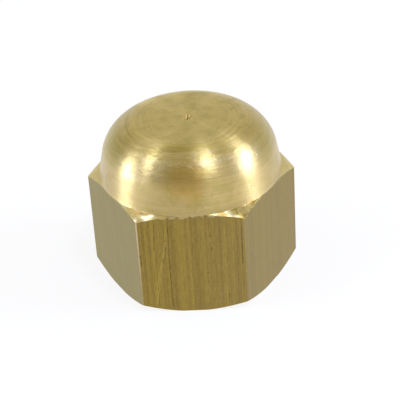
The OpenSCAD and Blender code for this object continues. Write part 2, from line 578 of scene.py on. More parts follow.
def thread_phases():
    """Where the rows lie within one pitch: round the root, along a flank, round the crest and back"""
    bend = THREAD_ROUNDING_RATIO * math.cos(THREAD_FLANK_ANGLE)
    arc = [bend * step / ROOT_STEPS for step in range(-ROOT_STEPS, ROOT_STEPS + 1)]
    flank = [bend + (0.5 - 2 * bend) * step / FLANK_STEPS for step in range(1, FLANK_STEPS)]
    half = arc + flank
    return half + [0.5 + phase for phase in half]


def thread_radius(sizes, turns, z):
    """Radius of the threaded wall at each angle and height"""
    pitch = sizes.thread_pitch
    rounding = THREAD_ROUNDING_RATIO * pitch
    bend = rounding * math.cos(THREAD_FLANK_ANGLE)
    place = (z / pitch - turns / (2 * math.pi) + 0.5) % 1.0 - 0.5
    from_root = np.abs(place) * pitch
    from_crest = pitch / 2 - from_root
    root = sizes.thread_major_radius - rounding + np.sqrt(np.maximum(rounding ** 2 - from_root ** 2, 0))
    crest = THREAD_MINOR_RADIUS + rounding - np.sqrt(np.maximum(rounding ** 2 - from_crest ** 2, 0))
    root_end = sizes.thread_major_radius - rounding * (1 - math.sin(THREAD_FLANK_ANGLE))
    crest_end = THREAD_MINOR_RADIUS + rounding * (1 - math.sin(THREAD_FLANK_ANGLE))
    slope = (from_root - bend) / (pitch / 2 - 2 * bend)
    flank = root_end + slope * (crest_end - root_end)
    wall = np.where(from_root < bend, root, np.where(from_crest < bend, crest, flank))
    mouth = sizes.thread_major_radius + sizes.mouth_clearance - z
    # The tap's tapered end leaves the last turns shallower
    left = (sizes.drill_depth - THREAD_END * pitch - z) / (THREAD_LEAD_OUT * pitch)
    depth = sizes.thread_major_radius - THREAD_MINOR_RADIUS
    tap = THREAD_MINOR_RADIUS + depth * np.clip(left, 0, 1)
    return np.maximum(np.minimum(wall, tap), mouth)


MOUTH_SLOPE = math.radians(45)
# How much the edge of the mouth is rubbed
MOUTH_WEAR = 0.5
# Where the rings of the drilled end lie, as shares of the way to its tip
CONE_ZONE = (0.03, 0.45, 8)
TIP_ZONE = (0.55, 0.95, 8)


def bore(skin, sizes, turns, foot):
    """Mouth, helical thread and drilled end; the rows of the thread climb with it"""
    edge_r, edge_z = mouth_edge(sizes)
    arc = arc_rows(edge_r, edge_z, edge_z, -math.pi / 2, -math.pi / 2 - MOUTH_SLOPE, MOUTH_STEPS)
    edge = [(r, z, MOUTH_WEAR) for r, z in [(edge_r, 0)] + arc[1:]]
    skin.stack(foot, turns, edge, TURNED, inside=True)
    start_r, start_z = arc[-1]

    pitch = sizes.thread_pitch
    phases = thread_phases()
    end_z = sizes.drill_depth
    pitches = 1 + math.ceil((end_z - start_z) / pitch)
    rows = np.array([turn + phase for turn in range(pitches + 1) for phase in phases])
    climb = np.concatenate([turns, [2 * math.pi]])
    heights = np.clip(
        start_z + (rows[:, None] - 1 + climb[None, :] / (2 * math.pi)) * pitch, start_z, end_z
    )
    shift = start_z / pitch
    grid = []
    for z in heights:
        r = thread_radius(sizes, climb, z - shift * pitch)
        r = np.where(z <= start_z, start_r, np.where(z >= end_z, THREAD_MINOR_RADIUS, r))
        grid.append(skin.row(climb, r, z))
    for lower, upper in zip(grid, grid[1:]):
        for i in range(len(climb) - 1):
            skin.face((lower[i + 1], lower[i], upper[i], upper[i + 1]), CUT)

    last = skin.row(turns, THREAD_MINOR_RADIUS, end_z)
    tip_z = end_z + THREAD_MINOR_RADIUS / math.tan(sizes.drill_point / 2)
    for zone, ring_turns in ((CONE_ZONE, turns), (TIP_ZONE, turns[::2])):
        cone = [(THREAD_MINOR_RADIUS * (1 - x), end_z + x * (tip_z - end_z)) for x in np.linspace(*zone)]
        last = skin.stack(last, ring_turns, cone, CUT, inside=True)
    skin.close(last[::-1], (0, 0, tip_z), CUT)


def skin_object(skin, name, materials):
    """Object of the finished skin, with coincident points merged"""
    mesh = bpy.data.meshes.new(name)
    shell = bmesh.new()
    wear = shell.verts.layers.float.new("wear")
    corners = []
    for point, amount in zip(skin.points, skin.wear):
        corner = shell.verts.new(point)
        corner[wear] = amount
        corners.append(corner)
    for face, finish in zip(skin.faces, skin.finishes):
        made = shell.faces.new([corners[index] for index in face])
        made.material_index = finish
        made.smooth = True
    bmesh.ops.remove_doubles(shell, verts=shell.verts[:], dist=MERGE_DISTANCE)
    open_edges = [edge for edge in shell.edges if not edge.is_manifold]
    if open_edges:
        raise RuntimeError(f"{name} is not closed: {len(open_edges)} open edges")
    bmesh.ops.recalc_face_normals(shell, faces=shell.faces[:])
    shell.to_mesh(mesh)
    shell.free()
    for material in materials:
        mesh.materials.append(material)
    piece = bpy.data.objects.new(name, mesh)
    bpy.context.scene.collection.objects.link(piece)
    return piece


# ---------------------------------------------------------------- shader helpers


def add(tree, kind, inputs=None, **settings):
    """New node with its settings, whose inputs take values or other nodes' sockets"""
    made = tree.nodes.new(kind)
    for key, value in settings.items():
        setattr(made, key, value)
    for key, value in (inputs or {}).items():
        if isinstance(value, bpy.types.NodeSocket):
            tree.links.new(value, made.inputs[key])
        else:
            made.inputs[key].default_value = value
    return made


def calc(tree, operation, *values):
    """Math node"""
    made = add(tree, "ShaderNodeMath", dict(enumerate(values)), operation=operation)
    return made.outputs[0]


def vector(tree, operation, first, second=None, scale=None):
    """Vector Math node"""
    inputs = {0: first}
    if second is not None:
        inputs[1] = second
    if scale is not None:
        inputs["Scale"] = scale
    made = add(tree, "ShaderNodeVectorMath", inputs, operation=operation)
    scalar = operation in ("LENGTH", "DOT_PRODUCT", "DISTANCE")
    return made.outputs["Value" if scalar else "Vector"]


def fade(tree, value, low, high, start=0.0, end=1.0):
    """Smooth change from start to end as the value goes from low to high"""
    inputs = {"Value": value, "From Min": low, "From Max": high, "To Min": start, "To Max": end}
    made = add(tree, "ShaderNodeMapRange", inputs, interpolation_type="SMOOTHSTEP")
    return made.outputs["Result"]


def tint(tree, factor, first, second, mode="MIX"):
    """Mix of two colours"""
    made = add(tree, "ShaderNodeMix", data_type="RGBA", blend_type=mode)
    for index, value in ((0, factor), (6, first), (7, second)):
        if isinstance(value, bpy.types.NodeSocket):
            tree.links.new(value, made.inputs[index])
        elif index:
            made.inputs[index].default_value = (*value, 1.0)
        else:
            made.inputs[index].default_value = value
    return made.outputs[2]


def noise(tree, place, scale, detail=2.0, roughness=0.5, distortion=0.0):
    """Noise around 0.5 at a place, in features per metre"""
    inputs = {
        "Vector": place,
        "Scale": scale,
        "Detail": detail,
        "Roughness": roughness,
        "Distortion": distortion,
    }
    return add(tree, "ShaderNodeTexNoise", inputs).outputs["Fac"]


def group(name, inputs, outputs, build):
    """Shader node group with named inputs and outputs, built the first time it is asked for"""
    tree = bpy.data.node_groups.get(name)
    if tree is None:
        tree = bpy.data.node_groups.new(name, "ShaderNodeTree")
        for socket, (kind, default) in inputs.items():
            made = tree.interface.new_socket(socket, in_out="INPUT", socket_type=kind)
            made.default_value = default
        for socket, kind in outputs.items():
            tree.interface.new_socket(socket, in_out="OUTPUT", socket_type=kind)
        source = tree.nodes.new("NodeGroupInput").outputs
        sink = tree.nodes.new("NodeGroupOutput").inputs
        for socket, value in build(tree, source).items():
            tree.links.new(value, sink[socket])
    return tree


def use(tree, node_group, **inputs):
    """Places a node group, with its inputs set by name"""
    named = {key.replace("_", " ").capitalize(): value for key, value in inputs.items()}
    made = add(tree, "ShaderNodeGroup", node_tree=node_group)
    for key, value in named.items():
        if isinstance(value, bpy.types.NodeSocket):
            tree.links.new(value, made.inputs[key])
        else:
            made.inputs[key].default_value = value
    return made.outputs


FLOAT, POINT = "NodeSocketFloat", "NodeSocketVector"


def place_of(tree):
    """Where the shaded point is on the cap, in metres"""
    return add(tree, "ShaderNodeTexCoord").outputs["Object"]


def around(tree, place, stretch):
    """Coordinates that follow the lathe: slow round the axis, fast from ring to ring"""
    part = add(tree, "ShaderNodeSeparateXYZ", {0: place}).outputs
    flat = add(tree, "ShaderNodeCombineXYZ", {0: part["X"], 1: part["Y"], 2: 0.0}).outputs[0]
    radius = vector(tree, "LENGTH", flat)
    heading = add(tree, "ShaderNodeSeparateXYZ", {0: vector(tree, "NORMALIZE", flat)}).outputs
    ring = calc(tree, "SUBTRACT", radius, part["Z"])
    slow_x = calc(tree, "MULTIPLY", heading["X"], stretch)
    slow_y = calc(tree, "MULTIPLY", heading["Y"], stretch)
    return add(tree, "ShaderNodeCombineXYZ", {0: slow_x, 1: slow_y, 2: ring}).outputs[0]


def turning_marks():
    """Rings left by the lathe tool: fine broken lines, broader bands and their relief"""

    def build(tree, source):
        place = place_of(tree)
        path = around(tree, place, source["Length"])
        fine = noise(tree, path, source["Fine"], 3.0, 0.65)
        broad = noise(tree, path, source["Broad"])
        both = calc(tree, "MULTIPLY_ADD", broad, 0.5, calc(tree, "MULTIPLY", fine, 0.5))
        lines = fade(tree, fine, 0.25, 0.75, -1.0, 1.0)
        bands = fade(tree, broad, 0.3, 0.7, -1.0, 1.0)
        return {"Lines": lines, "Bands": bands, "Height": both}

    inputs = {"Length": (FLOAT, 0.0006), "Fine": (FLOAT, 9000.0), "Broad": (FLOAT, 1500.0)}
    outputs = {"Lines": FLOAT, "Bands": FLOAT, "Height": FLOAT}
    return group("Turning marks", inputs, outputs, build)


# How far a feed ring strays, in pitches, and the distance over which the rings fade in and out
RINGS_STRAY = 1.2
RINGS_FADE = 0.8 * MM


def feed_rings():
    """Rings of one even pitch left by the tool as it faced the crown, worn away in places"""

    def build(tree, source):
        place = place_of(tree)
        path = around(tree, place, 0.003)
        radius = vector(tree, "LENGTH", vector(tree, "MULTIPLY", place, (1, 1, 0)))
        stray = noise(tree, path, 500.0)
        turns = calc(tree, "DIVIDE", radius, source["Pitch"])
        turns = calc(tree, "MULTIPLY_ADD", stray, RINGS_STRAY, turns)
        wave = calc(tree, "SINE", calc(tree, "MULTIPLY", turns, 2 * math.pi))
        start = fade(tree, radius, source["Inner"], calc(tree, "ADD", source["Inner"], RINGS_FADE))
        end = fade(tree, radius, source["Outer"], calc(tree, "SUBTRACT", source["Outer"], RINGS_FADE))
        kept = fade(tree, noise(tree, path, 700.0), 0.35, 0.65, 0.25, 1.0)
        inside = calc(tree, "MULTIPLY", start, end)
        return {"Rings": calc(tree, "MULTIPLY", wave, calc(tree, "MULTIPLY", inside, kept))}

    inputs = {"Pitch": (FLOAT, 0.0005), "Inner": (FLOAT, 0.0035), "Outer": (FLOAT, 0.0068)}
    return group("Feed rings", inputs, {"Rings": FLOAT}, build)


def mottling():
    """Uneven film on the metal: cloudy patches, a fine grain and scattered specks"""

    def build(tree, source):
        place = place_of(tree)
        cloud = fade(tree, noise(tree, place, source["Scale"], 3.0, 0.6), 0.3, 0.7, -1.0, 1.0)
        grain = fade(tree, noise(tree, place, 7000.0, 2.0, 0.7), 0.25, 0.75, -1.0, 1.0)
        dots = fade(tree, noise(tree, place, 3200.0, 1.0), 0.74, 0.80)
        where = fade(tree, noise(tree, place, 350.0), 0.5, 0.6)
        return {"Cloud": cloud, "Grain": grain, "Specks": calc(tree, "MULTIPLY", dots, where)}

    outputs = {"Cloud": FLOAT, "Grain": FLOAT, "Specks": FLOAT}
    return group("Mottling", {"Scale": (FLOAT, 900.0)}, outputs, build)


# How much slower the short grain changes along the flats than across them
SHORT_GRAIN = 0.15


def drawing_marks():
    """Lines of the drawing die along the flats: wide streaks, narrow lines and a short grain"""

    def build(tree, source):
        place = place_of(tree)
        slow = add(tree, "ShaderNodeCombineXYZ", {0: 1.0, 1: 1.0, 2: source["Stretch"]}).outputs[0]
        run = vector(tree, "MULTIPLY", place, slow)
        short = vector(tree, "MULTIPLY", place, (1.0, 1.0, SHORT_GRAIN))
        wide = noise(tree, run, source["Wide"], 2.0, 0.6)
        narrow = noise(tree, run, source["Narrow"], 2.0, 0.6)
        grain = noise(tree, short, source["Narrow"], 3.0, 0.7)
        height = calc(tree, "MULTIPLY_ADD", narrow, 0.6, calc(tree, "MULTIPLY", grain, 0.4))
        return {
            "Streaks": fade(tree, wide, 0.3, 0.7, -1.0, 1.0),
            "Lines": fade(tree, narrow, 0.3, 0.7, -1.0, 1.0),
            "Grain": fade(tree, grain, 0.25, 0.75, -1.0, 1.0),
            "Height": height,
        }

    inputs = {"Wide": (FLOAT, 1600.0), "Narrow": (FLOAT, 6000.0), "Stretch": (FLOAT, 0.004)}
    outputs = {"Streaks": FLOAT, "Lines": FLOAT, "Grain": FLOAT, "Height": FLOAT}
    return group("Drawing marks", inputs, outputs, build)


def dulling():
    """Cloudy mask of dulled metal"""

    def build(tree, source):
        cloud = noise(tree, place_of(tree), source["Scale"], 4.0, 0.6, 0.4)
        return {"Mask": fade(tree, cloud, source["Low"], source["High"])}

    inputs = {"Scale": (FLOAT, 220.0), "Low": (FLOAT, 0.4), "High": (FLOAT, 0.7)}
    return group("Dulling", inputs, {"Mask": FLOAT}, build)


def edge_wear():
    """Rubbed edges, broken up by noise"""

    def build(tree, source):
        near = add(tree, "ShaderNodeAttribute", attribute_name="wear").outputs["Fac"]
        patchy = noise(tree, place_of(tree), source["Scale"], 3.0, 0.6)
        kept = fade(tree, patchy, source["Low"], source["High"])
        return {"Mask": calc(tree, "MULTIPLY", near, kept)}

    inputs = {"Scale": (FLOAT, 2500.0), "Low": (FLOAT, 0.25), "High": (FLOAT, 0.55)}
    return group("Edge wear", inputs, {"Mask": FLOAT}, build)


# Turns of the two sets of hairlines, and how much faster they change across than along
HAIR_TURNS = ((0.3, 0.9, 0.2), (1.2, -0.4, 1.9))
HAIR_SCALE = (1, 14, 1)


def hairlines():
    """Thin random scratches, as a mask"""

    def build(tree, source):
        place = place_of(tree)
        total = None
        for turn in HAIR_TURNS:
            inputs = {"Vector": place, "Rotation": turn, "Scale": HAIR_SCALE}
            turned = add(tree, "ShaderNodeMapping", inputs)
            field = noise(tree, turned.outputs[0], source["Scale"], 1.0, 0.4)
            line = calc(tree, "ABSOLUTE", calc(tree, "SUBTRACT", field, 0.5))
            thin = fade(tree, line, 0.0, source["Width"], 1.0, 0.0)
            total = thin if total is None else calc(tree, "MAXIMUM", total, thin)
        spread = noise(tree, place, 500.0, 1.0)
        some = fade(tree, spread, 0.56, 0.66)
        return {"Mask": calc(tree, "MULTIPLY", total, some)}

    inputs = {"Scale": (FLOAT, 180.0), "Width": (FLOAT, 0.008)}
    return group("Hairlines", inputs, {"Mask": FLOAT}, build)


def scratch():
    """One straight scratch between two points, as a mask that frays along its length"""

    def build(tree, source):
        place = place_of(tree)
        stray = noise(tree, place, 1800.0)
        start, end = source["Start"], source["End"]
        span = vector(tree, "SUBTRACT", end, start)
        offset = vector(tree, "SUBTRACT", place, start)
        reach = vector(tree, "DOT_PRODUCT", span, span)
        along = calc(tree, "DIVIDE", vector(tree, "DOT_PRODUCT", offset, span), reach)
        inside = add(tree, "ShaderNodeClamp", {"Value": along}).outputs[0]
        nearest = vector(tree, "SCALE", span, scale=inside)
        gap = vector(tree, "DISTANCE", offset, nearest)
        width = calc(tree, "MULTIPLY", source["Width"], fade(tree, stray, 0.3, 0.6, 0.25, 1.0))
        ratio = calc(tree, "DIVIDE", gap, width)
        return {"Mask": fade(tree, ratio, 0.4, 1.0, 1.0, 0.0)}

    inputs = {"Start": (POINT, (0, 0, 0)), "End": (POINT, (0, 0, 0.01)), "Width": (FLOAT, 0.00008)}
    return group("Scratch", inputs, {"Mask": FLOAT}, build)


def blotch():
    """Cloudy round stain about a middle, as a mask"""

    def build(tree, source):
        place = place_of(tree)
        cloud = noise(tree, place, 700.0, 3.0, 0.6)
        gap = vector(tree, "DISTANCE", place, source["Middle"])
        near = calc(tree, "DIVIDE", gap, source["Reach"])
        frayed = calc(tree, "MULTIPLY_ADD", cloud, 0.8, calc(tree, "SUBTRACT", near, 0.4))
        return {"Mask": fade(tree, frayed, 0.35, 1.0, 1.0, 0.0)}

    inputs = {"Middle": (POINT, (0, 0, 0)), "Reach": (FLOAT, 0.002)}
    return group("Blotch", inputs, {"Mask": FLOAT}, build)


# ---------------------------------------------------------------- materials

# Depth of a bump whose height is 1
BUMP_DEPTH = 0.01 * MM
# A quarter of a turn lays the spread of the light across the grooves
ACROSS_GROOVES = 0.25

# Single marks: both ends and the width, in millimetres
DOME_SCORES = [
    ((-6.29, -4.09, 16.78), (-4.93, -5.55, 16.83), 0.06),
    ((-4.77, -6.17, 16.54), (-4.67, -6.41, 16.41), 0.10),
    ((-4.82, -6.91, 15.85), (-4.57, -7.22, 15.68), 0.09),
    ((4.77, -5.23, 17.06), (5.01, -5.55, 16.80), 0.06),
    ((1.38, -8.42, 15.69), (2.25, -8.25, 15.66), 0.05),
    ((6.27, -6.90, 13.44), (6.30, -6.88, 13.40), 0.07),
    ((6.57, -6.66, 13.27), (6.59, -6.64, 13.23), 0.06),
    ((-0.63, -7.71, 16.59), (-0.27, -8.17, 16.16), 0.07),
]
DOME_SCRATCHES = [
    ((-2.17, -5.87, 17.43), (-2.48, -6.26, 17.23), 0.07),
    ((-0.30, -7.60, 16.69), (0.43, -7.87, 16.46), 0.09),
    ((0.43, -7.87, 16.46), (0.79, -8.05, 16.26), 0.07),
    ((3.00, -6.73, 16.87), (3.29, -7.06, 16.54), 0.09),
    ((6.79, -4.65, 16.09), (6.97, -4.84, 15.76), 0.08),
    ((-2.94, -7.04, 16.68), (-2.08, -7.33, 16.69), 0.07),
]
FLAT_SCORES = [
    ((-2.24, -9.5, 11.55), (-2.40, -9.5, 6.43), 0.05),
    ((-2.37, -9.5, 6.80), (-2.31, -9.5, 0.63), 0.07),
    ((-2.31, -9.5, 10.23), (-2.34, -9.5, 9.87), 0.10),
    ((-2.67, -9.5, 8.05), (-2.71, -9.5, 7.68), 0.10),
    ((-2.91, -9.5, 6.70), (-2.97, -9.5, 6.21), 0.10),
    ((-3.63, -9.5, 11.05), (-3.86, -9.5, 7.84), 0.07),
    ((-5.26, -9.5, 7.24), (-5.25, -9.5, 5.89), 0.09),
    ((-1.68, -9.5, 8.98), (-1.70, -9.5, 8.68), 0.08),
    ((1.99, -9.5, 9.53), (1.97, -9.5, 9.16), 0.09),
    ((2.00, -9.5, 7.94), (1.98, -9.5, 7.57), 0.08),
    ((3.58, -9.5, 2.08), (3.57, -9.5, 1.57), 0.08),
    ((5.14, -9.5, 10.33), (5.12, -9.5, 5.80), 0.10),
]
FLAT_SCRATCHES = [
    ((-2.34, -9.5, 11.41), (-2.70, -9.5, 8.91), 0.05),
    ((-2.67, -9.5, 8.66), (-3.98, -9.5, 1.07), 0.08),
    ((-2.99, -9.5, 7.35), (-3.99, -9.5, 2.36), 0.06),
    ((5.47, -9.5, 4.84), (5.47, -9.5, 4.59), 0.07),
]


def grey(tree, value):
    """Grey colour of one brightness"""
    return add(tree, "ShaderNodeCombineColor", {0: value, 1: value, 2: value}).outputs[0]


def new_material(name):
    """Material with a shader joined to its output"""
    material = bpy.data.materials.new(name)
    material.use_nodes = True
    tree = material.node_tree
    tree.nodes.clear()
    shader = add(tree, "ShaderNodeBsdfPrincipled")
    output = add(tree, "ShaderNodeOutputMaterial", {"Surface": shader.outputs[0]})
    output.is_active_output = True
    return material, tree, shader


def ring_mask(tree, value, middle, half_width, path, patchiness, kept_from=0.42):
    """Thin ring where a value passes its middle, broken up along its length"""
    off = calc(tree, "ABSOLUTE", calc(tree, "SUBTRACT", value, middle))
    line = fade(tree, off, half_width * 0.3, half_width, 1.0, 0.0)
    kept = fade(tree, noise(tree, path, patchiness, 3.0, 0.6), kept_from, kept_from + 0.2)
    return calc(tree, "MULTIPLY", line, kept)


def placed_marks(tree, marks):
    """Mask of several single marks"""
    mask = None
    for start, end, width in marks:
        ends = {"start": Vector(start) * MM, "end": Vector(end) * MM}
        one = use(tree, scratch(), width=width * MM, **ends)["Mask"]
        mask = one if mask is None else calc(tree, "MAXIMUM", mask, one)
    return mask


def blend(tree, *weighted):
    """Highest of several masks, each times its weight"""
    result = None
    for mask, weight in weighted:
        part = calc(tree, "MULTIPLY", mask, weight)
        result = part if result is None else calc(tree, "MAXIMUM", result, part)
    return result


def brightness(tree, *weighted):
    """Factor around 1 from several signed values, each times its weight"""
    result = 1.0
    for value, weight in weighted:
        result = calc(tree, "MULTIPLY_ADD", value, weight, result)
    return grey(tree, result)


def cover(tree, mask, weight, base, over):
    """Colour with another laid over it where the mask is, as strongly as the weight"""
    return tint(tree, calc(tree, "MULTIPLY", mask, weight), base, over)


def finish_metal(tree, shader, base, rough, relief, strength):
    """Gives a metal its colour, roughness and relief"""
    bump = add(
        tree, "ShaderNodeBump", {"Strength": strength, "Distance": BUMP_DEPTH, "Height": relief}
    )
    tree.links.new(base, shader.inputs["Base Color"])
    tree.links.new(rough, shader.inputs["Roughness"])
    tree.links.new(bump.outputs[0], shader.inputs["Normal"])
    shader.inputs["Metallic"].default_value = 1.0


def brush_round(tree, shader, place, anisotropy):
    """Spreads the light across grooves that run round the axis"""
    groove = vector(tree, "CROSS_PRODUCT", (0, 0, 1), place)
    tree.links.new(groove, shader.inputs["Tangent"])
    shader.inputs["Anisotropic"].default_value = anisotropy
    shader.inputs["Anisotropic Rotation"].default_value = ACROSS_GROOVES


TURNED_ANISOTROPY = 0.873
TURNED_COAT_ROUGHNESS = 0.43
# Depth of the tool's chatter on the rounding, in shares of the depth of its finest lines
CHATTER = 9.0
# Height of the ring where two cuts of the tool meet, with the dark line just below it
JOIN_HEIGHT = 15.42 * MM
JOIN_WIDTH = 0.06 * MM
JOIN_LINE = (JOIN_HEIGHT - 0.03 * MM, 0.09 * MM)
# Middle and half width of other rings, by their height or their distance from the axis
HIGH_SCORE = (17.45 * MM, 0.035 * MM)
SCUFF_RING = (16.92 * MM, 0.28 * MM)
# The film band at the front is partly painted shade
FRONT_FILM_AND_SHADE_BAND = (6.0 * MM, 1.8 * MM)
# Distances from the axis between which the finish and the colour of the crown fade in
CROWN_FINISH = (5.7 * MM, 4.0 * MM)
CROWN_COLOUR = (7.3 * MM, 5.4 * MM)
DISH_EDGE = (0.75 * MM, 0.5 * MM)
PIT_EDGE = (0.31 * MM, 0.2 * MM)
# Y at which the front of the dome, and the darker front of the join, fade in
DOME_FRONT = (-4.5 * MM, -6.5 * MM)
JOIN_FRONT = (-6.5 * MM, -8.0 * MM)
# Distance to either side at which the facing rings and the belt of film fade in
RINGS_ASIDE = (1.5 * MM, 4.5 * MM)
BELT_ASIDE = (5.8 * MM, 7.4 * MM)
# Heights between which that belt lies, and the X over which it grows thinner to the right
BELT_BOTTOM = (14.4 * MM, 15.4 * MM)
BELT_TOP = (17.4 * MM, 16.8 * MM)
BELT_THINNER = (-4.0 * MM, 4.0 * MM)
# Middle and reach of the brown patch at the front of the dome, partly a stain and partly painted shade
STAIN_AND_SHADE_MIDDLE = (-0.2 * MM, -8.6 * MM, 15.3 * MM)
STAIN_AND_SHADE_REACH = 3.0 * MM


def turned_material(finish, shown):
    """Brass as turned: rings round the axis, which draw each light out into a streak up the dome"""
    material, tree, shader = new_material("turned_brass")
    place = place_of(tree)
    part = add(tree, "ShaderNodeSeparateXYZ", {0: place}).outputs
    radius = vector(tree, "LENGTH", vector(tree, "MULTIPLY", place, (1, 1, 0)))
    height = part["Z"]
    front = fade(tree, part["Y"], *DOME_FRONT)
    path = around(tree, place, 0.0008)
    marks = use(tree, turning_marks(), length=0.0005, fine=7000.0, broad=1400.0)
    rings = use(tree, feed_rings(), pitch=0.00058, inner=0.0036, outer=0.007)["Rings"]
    aside = calc(tree, "ABSOLUTE", part["X"])
    rings = calc(tree, "MULTIPLY", rings, fade(tree, aside, *RINGS_ASIDE, 0.1, 1.0))
    film = use(tree, mottling(), scale=800.0)
    worn = use(tree, edge_wear(), scale=2500.0, low=0.35, high=0.6)["Mask"]
    hairs = use(tree, hairlines(), scale=180.0, width=0.006)["Mask"]

    above = fade(tree, height, JOIN_HEIGHT - JOIN_WIDTH, JOIN_HEIGHT + JOIN_WIDTH)
    crown = fade(tree, radius, *CROWN_FINISH)
    bend = calc(tree, "SUBTRACT", above, crown)
    base = tint(tree, above, finish.side, finish.bend)
    base = tint(tree, fade(tree, radius, *CROWN_COLOUR), base, finish.crown)

    # A greenish film lies in patches, in a band round the crown and on the sides of the rounding. The
    # band, laid only at the front, is partly film and partly painted shade
    band = ring_mask(tree, radius, *FRONT_FILM_AND_SHADE_BAND, path, patchiness=900.0, kept_from=0.3)
    band = calc(tree, "MULTIPLY", band, front)
    belt = calc(tree, "MULTIPLY", fade(tree, height, *BELT_BOTTOM), fade(tree, height, *BELT_TOP))
    belt = calc(tree, "MULTIPLY", belt, fade(tree, aside, *BELT_ASIDE))
    worked = fade(tree, noise(tree, path, 1500.0, 3.0, 0.6), 0.3, 0.6, 0.5, 1.0)
    belt = calc(tree, "MULTIPLY", belt, worked)
    belt = calc(tree, "MULTIPLY", belt, fade(tree, part["X"], *BELT_THINNER, 0.9, 0.62))
    patch = fade(tree, film["Cloud"], -0.2, 1.0)
    filmed = blend(
        tree, (patch, shown.film_patches), (band, shown.film_and_shade_band), (belt, shown.film_belt)
    )
    base = tint(tree, filmed, base, finish.olive)

    # The lines are deepest on the rounding and faint on the crown
    depth = calc(tree, "MULTIPLY_ADD", bend, 0.8, calc(tree, "MULTIPLY_ADD", crown, -0.8, 1.0))
    lines = calc(tree, "MULTIPLY", marks["Lines"], depth)
    grain = calc(tree, "MULTIPLY", film["Grain"], calc(tree, "MULTIPLY_ADD", bend, 1.6, 0.4))
    light_and_dark = brightness(
        tree,
        (lines, shown.turning_lines),
        (marks["Bands"], shown.turning_bands),
        (grain, shown.turned_grain),
        (rings, shown.facing_rings),
    )
    base = tint(tree, 1.0, base, light_and_dark, "MULTIPLY")

    # The brown patch at the front of the dome is partly a stain and partly painted shade, the dark
    # reflection in the front of the dome
    stain_and_shade = use(tree, blotch(), middle=STAIN_AND_SHADE_MIDDLE, reach=STAIN_AND_SHADE_REACH)["Mask"]
    base = cover(tree, stain_and_shade, shown.stain_and_shade, base, finish.stain_and_shade)

    # The tool's join, where the side meets the rounding, and one score higher up
    join = ring_mask(tree, height, *JOIN_LINE, path, patchiness=2200.0, kept_from=0.5)
    join = calc(tree, "MULTIPLY", join, fade(tree, part["Y"], *JOIN_FRONT, 0.15, 1.0))
    score = ring_mask(tree, height, *HIGH_SCORE, path, patchiness=1500.0)
    scores = placed_marks(tree, DOME_SCORES)
    base = tint(tree, fade(tree, radius, *DISH_EDGE), base, finish.pip)
    pit = fade(tree, radius, *PIT_EDGE)
    dark = blend(
        tree,
        (join, shown.join),
        (score, shown.high_score),
        (scores, shown.dome_scores),
        (film["Specks"], shown.dome_specks),
        (pit, shown.pit),
    )
    base = tint(tree, dark, base, finish.dirt)

    # Light scuffs, most of them round the front where the rounding is fullest
    stray = calc(tree, "MULTIPLY_ADD", noise(tree, path, 2600.0), 0.5 * MM, height)
    rubbed_path = around(tree, place, 0.003)
    scuffs = ring_mask(tree, stray, *SCUFF_RING, rubbed_path, patchiness=5000.0, kept_from=0.5)
    scuffs = calc(tree, "MULTIPLY", scuffs, fade(tree, front, 0.0, 1.0, 0.15, 1.0))
    scratches = placed_marks(tree, DOME_SCRATCHES)
    light = blend(
        tree,
        (scuffs, shown.scuffs),
        (scratches, 1.0),
        (hairs, shown.hairlines),
        (worn, shown.turned_wear),
    )
    base = tint(tree, light, base, finish.scuff_and_highlight)

    # The crown is the smoothest, and every scratch is rougher than the metal round it
    rougher = finish.bend_roughness - finish.side_roughness
    smoother = finish.crown_roughness - finish.bend_roughness
    rough = calc(tree, "MULTIPLY_ADD", above, rougher, finish.side_roughness)
    rough = calc(tree, "MULTIPLY_ADD", crown, smoother, rough)
    rough = calc(tree, "MULTIPLY_ADD", lines, 0.035, rough)
    rough = calc(tree, "MULTIPLY_ADD", film["Cloud"], 0.02, rough)
    rough = calc(tree, "MULTIPLY_ADD", light, 0.12, rough)
    # The stain and the painted shade at the front, the dirt and the film take the shine of the clean
    # metal away
    matt = blend(tree, (stain_and_shade, 0.7), (dark, 0.7), (band, 0.6))
    coat = calc(tree, "MULTIPLY_ADD", matt, -1.0, 1.0)
    tree.links.new(coat, shader.inputs["Coat Weight"])

    relief = calc(tree, "MULTIPLY_ADD", calc(tree, "SUBTRACT", light, dark), 0.35, marks["Height"])
    relief = calc(tree, "MULTIPLY", relief, calc(tree, "MULTIPLY_ADD", crown, -0.85, 1.0))
    relief = calc(tree, "MULTIPLY_ADD", rings, 0.15, relief)
    chatter = noise(tree, around(tree, place, 0.003), 3000.0)
    relief = calc(tree, "MULTIPLY_ADD", calc(tree, "MULTIPLY", chatter, bend), CHATTER, relief)
    finish_metal(tree, shader, base, rough, relief, 0.3)
    brush_round(tree, shader, place, TURNED_ANISOTROPY)
    shader.inputs["Coat Roughness"].default_value = TURNED_COAT_ROUGHNESS
    return material


SCRAPED_ANISOTROPY = 0.5
# Depth of the broad facets and of the torn metal on the shoulder, in hundredths of a millimetre
SCRAPED_FACETS = 35.0
SCRAPED_TORN = 0.05
# Shift of the pattern of the facets, which settles which of them catch the light
SCRAPED_SHIFT = 0.006
# Distance to either side at which the shoulder turns uneven, from the side corners inward
UNEVEN_ASIDE = (8.5 * MM, 7.0 * MM)
# X and Y at which the olive film, partly painted shade, fades in on the right front corner
CORNER_FILM_AND_SHADE_SIDE = (3.6 * MM, 4.6 * MM)
CORNER_FILM_AND_SHADE_FRONT = (-6.5 * MM, -8.5 * MM)
# X over which the golden patches grow stronger; to the left they are thinner, so that the pale colour
# paints a highlight on the left front corner
GOLD_PAST_LEFT_HIGHLIGHT = (-4.0 * MM, -1.0 * MM)


